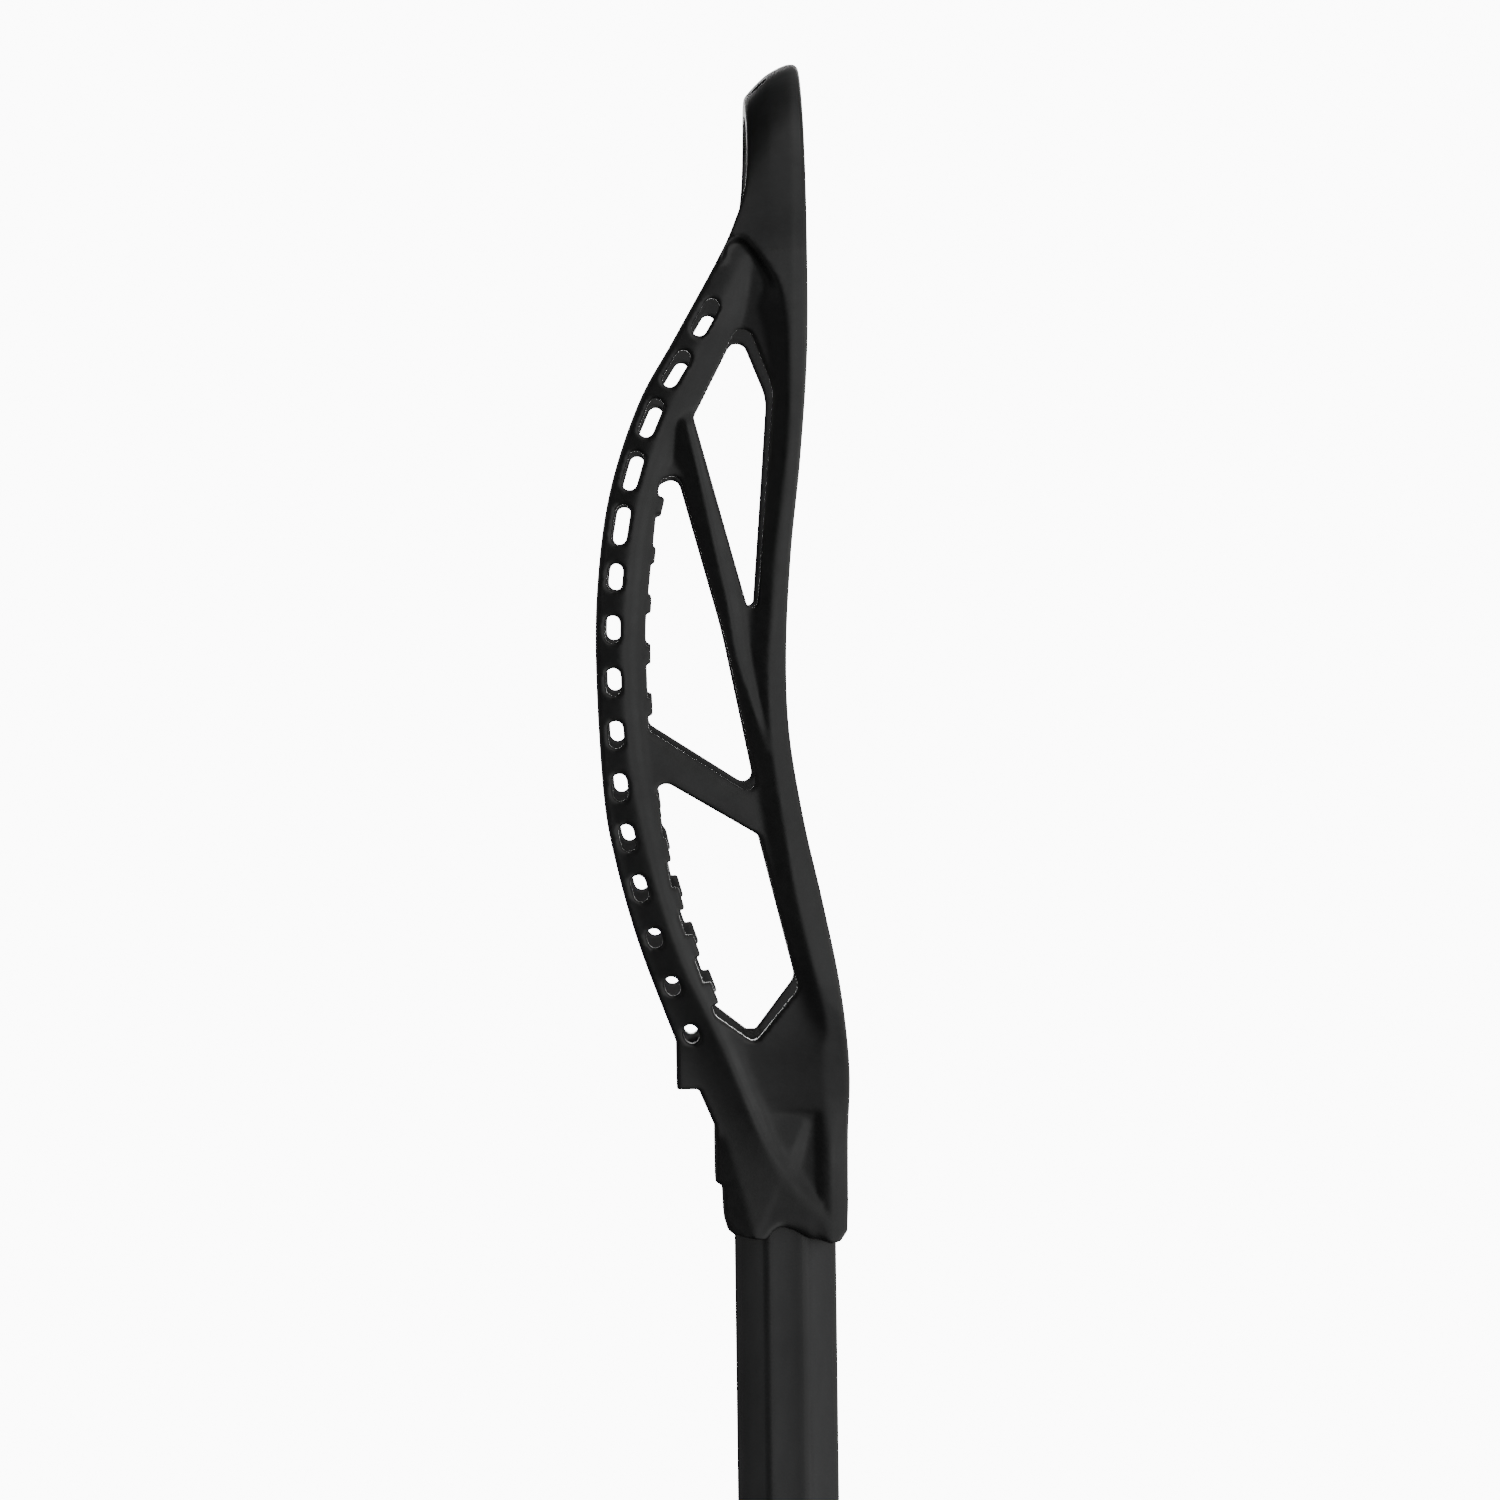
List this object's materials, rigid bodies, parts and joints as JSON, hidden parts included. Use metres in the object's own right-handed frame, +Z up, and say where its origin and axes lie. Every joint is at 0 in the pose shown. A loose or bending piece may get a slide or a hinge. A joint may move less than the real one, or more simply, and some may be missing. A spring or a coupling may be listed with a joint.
{
  "type": "lacrosse stick",
  "caption": "Unstrung field lacrosse stick: windowed nylon head with scoop and throat, screwed to an eight-sided alloy shaft with a rubber end cap.",
  "frame": {"origin": "centre of the end cap's outer face at the butt end, on the shaft's axis", "axes": "+Z up the shaft to the scoop, -Y towards the ball side of the head, +Y towards the pocket side, X across the head"},
  "size_m": [0.1582, 0.0617, 1.025],
  "materials": {
    "moulded_nylon": "matte, finely textured",
    "foam": "closed-cell foam",
    "anodised_alloy": "satin black anodised",
    "screw_steel": "zinc plated",
    "cap_rubber": "matte moulded rubber"
  },
  "bodies": {
    "stick": {"shaft": "anodised_alloy", "head_frame": "moulded_nylon", "ball_stop_pad": "foam"},
    "head_screw": {"head_screw": "screw_steel"},
    "end_cap": {"end_cap": "cap_rubber"}
  },
  "joints": [
    {"name": "head_screw_out", "type": "slide", "parent": "stick", "child": "head_screw", "axis": [0, 1, 0], "range_m": [0, 0.024]},
    {"name": "end_cap_pull", "type": "slide", "parent": "stick", "child": "end_cap", "axis": [0, 0, -1], "range_m": [0, 0.04]}
  ]
}
